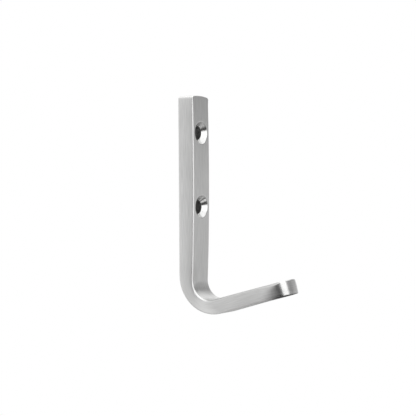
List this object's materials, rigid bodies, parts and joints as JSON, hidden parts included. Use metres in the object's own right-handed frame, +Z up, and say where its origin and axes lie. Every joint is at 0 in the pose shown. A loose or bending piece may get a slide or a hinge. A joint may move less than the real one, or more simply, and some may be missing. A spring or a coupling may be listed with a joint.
{
  "type": "utility wall hook",
  "caption": "J-shaped satin stainless steel wall hook: an upright plate with countersunk screw holes, a bend, and a short rising arm with a rounded tip, for hanging bags, coats or tools.",
  "frame": {"origin": "on the wall, midway between the two screw holes", "axes": "+Z up along the plate, +Y into the wall, so the arm reaches out along -Y; X across the bar"},
  "size_m": [0.01, 0.0419, 0.073],
  "materials": {
    "satin_steel": "satin, brushed along the bar"
  },
  "bodies": {
    "root": {"wall_hook": "satin_steel"}
  },
  "joints": []
}
